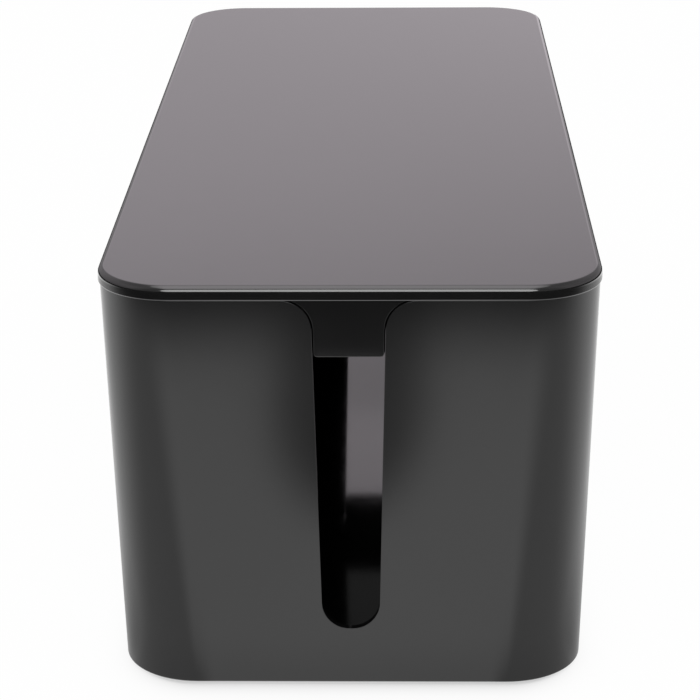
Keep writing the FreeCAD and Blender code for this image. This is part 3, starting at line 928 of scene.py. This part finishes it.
def floor_material(stage, tub):
    """White paper. Seen by the camera it is plain white but for the shadow close round the box,
    partly cast by the lamps and partly painted, as the paper's own glow fades towards the foot.

    In reflections its brightness is painted, a product of shares: a bright round disc that ends in
    a circle, a painted dark bar on it straight in front of the box, a painted shade at the box's foot,
    and the deeper of two more painted shades, one that fans out from the front corners and one beside
    the box.
    """
    material, nodes = new_material("white_paper")
    seen, glossy = nodes.ray("Is Camera Ray"), nodes.ray("Is Glossy Ray")
    place = nodes.place()
    x, y = nodes.part(place, "X"), nodes.part(place, "Y")
    corner = tub.corner + tub.corner_growth
    core_x, core_y = tub.width / 2 - tub.taper - corner, tub.length / 2 - tub.taper - corner

    # Painted shadow: the nearer the box's foot, the less the floor glows by itself, so it darkens there
    # and lets the lamps' shadow show. Beside the box that ends sooner
    open_glow, sooner = 0.98, 1.25
    across, along = (x.size() - core_x).at_least(0), (y.size() - core_y).at_least(0)
    from_foot = nodes.hypot(across, along) - corner
    from_shadow = (nodes.hypot(sooner * across, along) - corner).at_least(0)
    depth = (-1 / stage.shadow * from_shadow).exponent()
    glow = open_glow - (open_glow - stage.shadow_glow) * depth

    # Painted reflections: the bright disc and the dark bar have soft borders, and the bar's end at the
    # box is drawn out
    painted_disc_end = stage.painted_disc_radius - stage.painted_disc_fade, stage.painted_disc_radius + stage.painted_disc_fade
    painted_disc = 1 - nodes.ramp(nodes.hypot(x, y), *painted_disc_end)
    drawn_out, bar_depth, bar_end = 0.29, 0.78, (0.7 * stage.bar_width, 1.3 * stage.bar_width)
    from_bar = nodes.hypot(x - stage.bar_middle, drawn_out * (y + stage.bar_start).at_least(0))
    bar = bar_depth * (1 - nodes.ramp(from_bar, *bar_end))
    # Painted shade at the box's foot, seen only in reflections
    foot_depth, foot_end, side_end = 0.12, (0, 36 * MM), (0, 90 * MM)
    at_foot = foot_depth * (1 - nodes.ramp(from_foot, *foot_end))

    # Painted shades, seen only in reflections: the fan starts beside a front corner, and opens with the
    # turn away from straight ahead. The side shade lies beside the box, near its foot
    inset, reach = 8 * MM, 87 * MM
    beside, ahead = x.size() - core_x + inset, -core_y - y
    turn = beside.turn(ahead)
    spread = turn / (nodes.hypot(beside, ahead) + reach)
    fan_start, fan_end, side_start = (0.68, 2.48), (radians(60), radians(110)), (radians(40), radians(90))
    fan = nodes.ramp(spread, *fan_start) * (1 - nodes.ramp(turn, *fan_end))
    side = nodes.ramp(turn, *side_start) * (1 - nodes.ramp(from_foot, *side_end))
    bright = painted_disc * (1 - bar) * (1 - at_foot) * (1 - stage.shade * fan.at_least(side))

    darkest, mirrored_glow = 0.03, 0.95
    # Painted reflection: glossy rays see the paper darkened by the shares above
    white = nodes.blend(glossy * (1 - bright), grey(1), grey(darkest))
    lit = nodes.add("BsdfDiffuse", {}, {"Color": white})
    plain = nodes.add("Emission", {}, {"Color": white})
    nodes.surface(nodes.mix_shaders(seen * glow + mirrored_glow * glossy, lit, plain))
    return material


def set_world(stage):
    """White all round for the camera, and a plain low light on everything.

    In reflections the sky's brightness is a product of shares: it is dark in front and at the sides,
    where the room is unlit, and darker overhead. Behind the box it gets brighter upwards, with a
    faint band across it, and a little brighter to the left high up and to the right low down.
    """
    world = bpy.data.worlds.new("plain_studio")
    bpy.context.scene.world = world
    world.use_nodes = True
    nodes = Nodes(world.node_tree)
    seen, glossy = nodes.ray("Is Camera Ray"), nodes.ray("Is Glossy Ray")
    direction = nodes.add("TexCoord", {}, {}, "Generated")
    x, y, z = (nodes.part(direction, axis) for axis in "XYZ")

    # Where each change begins and ends: how far the direction points right, back or up, from -1 to 1
    rising, band_start, band_end, overhead = (0.15, 0.35), (0.318, 0.335), (0.361, 0.366), (0.6, 0.85)
    rightwards, sideways, backwards = (-0.15, 0.15), (0.13, 0.28), (-0.75, -0.35)
    rise = nodes.ramp(z, *rising)
    band = nodes.ramp(z, *band_start) - nodes.ramp(z, *band_end)
    slant = (nodes.ramp(x, *rightwards) - 0.5) * (0.5 - rise)
    darkest, lowest, band_depth, lean, dark_above, dark_beside = 0.15, 0.87, 0.3, 0.6, 0.45, 0.8
    above = 1 - dark_above * nodes.ramp(z, *overhead)
    sides = 1 - dark_beside * nodes.ramp(x.size(), *sideways)
    behind = (lowest + (1 - lowest) * rise) * (1 - band_depth * band) * (1 + lean * slant)
    strength = behind * above * sides * nodes.ramp(y, *backwards)
    mirrored = nodes.blend(strength, grey(darkest), four(stage.sky))
    around = nodes.blend(glossy, grey(stage.world_light), mirrored)
    light = nodes.add("Background", {}, {"Color": nodes.blend(seen, around, grey(1))})
    nodes.add("OutputWorld", {}, {"Surface": light})


class CABLEBOX_OT_stage(Operator):
    """Set out the floor, the soft lamps, the light all round and the camera"""

    bl_idname = "cable_box.stage"
    bl_label = "Stage"

    def execute(self, context):
        box = context.scene.cable_box
        stage = box.stage
        self.floor(stage, box.tub)
        set_world(stage)
        self.lamps(stage)
        self.camera(stage)
        context.scene.view_settings.view_transform = "Standard"
        return {"FINISHED"}

    @staticmethod
    def floor(stage, tub):
        half = stage.floor_half
        mesh = bpy.data.meshes.new("floor")
        corners = [(-half, -half, 0), (half, -half, 0), (half, half, 0), (-half, half, 0)]
        mesh.from_pydata(corners, [], [(0, 1, 2, 3)])
        mesh.materials.append(floor_material(stage, tub))
        floor = new_object("floor", mesh)

    @staticmethod
    def lamps(stage):
        """A large soft lamp over the box, and one in front of it that lights the lid's near edge."""
        edge = Vector((0, LID_LOW.y, LID_HIGH.z))
        front = edge + stage.front * Vector((0, -cos(stage.front_rise), sin(stage.front_rise)))
        above = Vector((0, (stage.above_back - stage.above_front) / 2, LID_HIGH.z + stage.above))
        for name, place, target, width, depth, watts in (
            ("lamp_above", above, above - Vector((0, 0, 1)),
             stage.above_width, stage.above_front + stage.above_back, stage.above_watts),
            ("lamp_in_front", front, edge, stage.front_width, stage.front_height, stage.front_watts),
        ):
            light = bpy.data.lights.new(name, "AREA")
            light.shape = "ELLIPSE"
            light.size = width
            light.size_y = depth
            light.energy = watts
            lamp = new_object(name, light)
            lamp.location = place
            lamp.rotation_euler = (target - place).to_track_quat("-Z", "Y").to_euler()

    @staticmethod
    def camera(stage):
        """The line of sight is turned by yaw and tipped down by pitch, and the picture by roll."""
        yaw, pitch, roll = stage.yaw, stage.pitch, stage.roll
        sight = Vector((-sin(yaw) * cos(pitch), cos(yaw) * cos(pitch), -sin(pitch)))
        level = Vector((cos(yaw), sin(yaw), 0))
        upright = level.cross(sight)
        right = cos(roll) * level + sin(roll) * upright
        above = cos(roll) * upright - sin(roll) * level
        data = bpy.data.cameras.new("camera")
        data.sensor_width = 36
        data.lens = stage.lens
        camera = new_object("camera", data)
        axes = Matrix((right, above, -sight)).transposed().to_4x4()
        camera.matrix_world = Matrix.Translation(stage.camera) @ axes
        bpy.context.scene.camera = camera


class CABLEBOX_PT_pieces(Panel):
    """Lists the pieces and the stage"""

    bl_idname = "CABLEBOX_PT_pieces"
    bl_label = "Cable box"
    bl_space_type = "VIEW_3D"
    bl_region_type = "UI"
    bl_category = "Cable box"

    def draw(self, context):
        for operator in OPERATORS:
            self.layout.operator(operator.bl_idname)


OPERATORS = (CABLEBOX_OT_tub, CABLEBOX_OT_lid, CABLEBOX_OT_feet, CABLEBOX_OT_stage)
GROUPS = (TubSizes, LidSizes, FootSizes, Fineness, Finishes, StageSizes, BoxSettings)
CLASSES = (*GROUPS, *OPERATORS, CABLEBOX_PT_pieces)


def register():
    for item in CLASSES:
        bpy.utils.register_class(item)
    bpy.types.Scene.cable_box = PointerProperty(type=BoxSettings)


def unregister():
    del bpy.types.Scene.cable_box
    for item in reversed(CLASSES):
        bpy.utils.unregister_class(item)


def main():
    register()
    bpy.ops.cable_box.tub()
    bpy.ops.cable_box.lid()
    bpy.ops.cable_box.feet()
    bpy.ops.cable_box.stage()


if __name__ == "__main__":
    main()
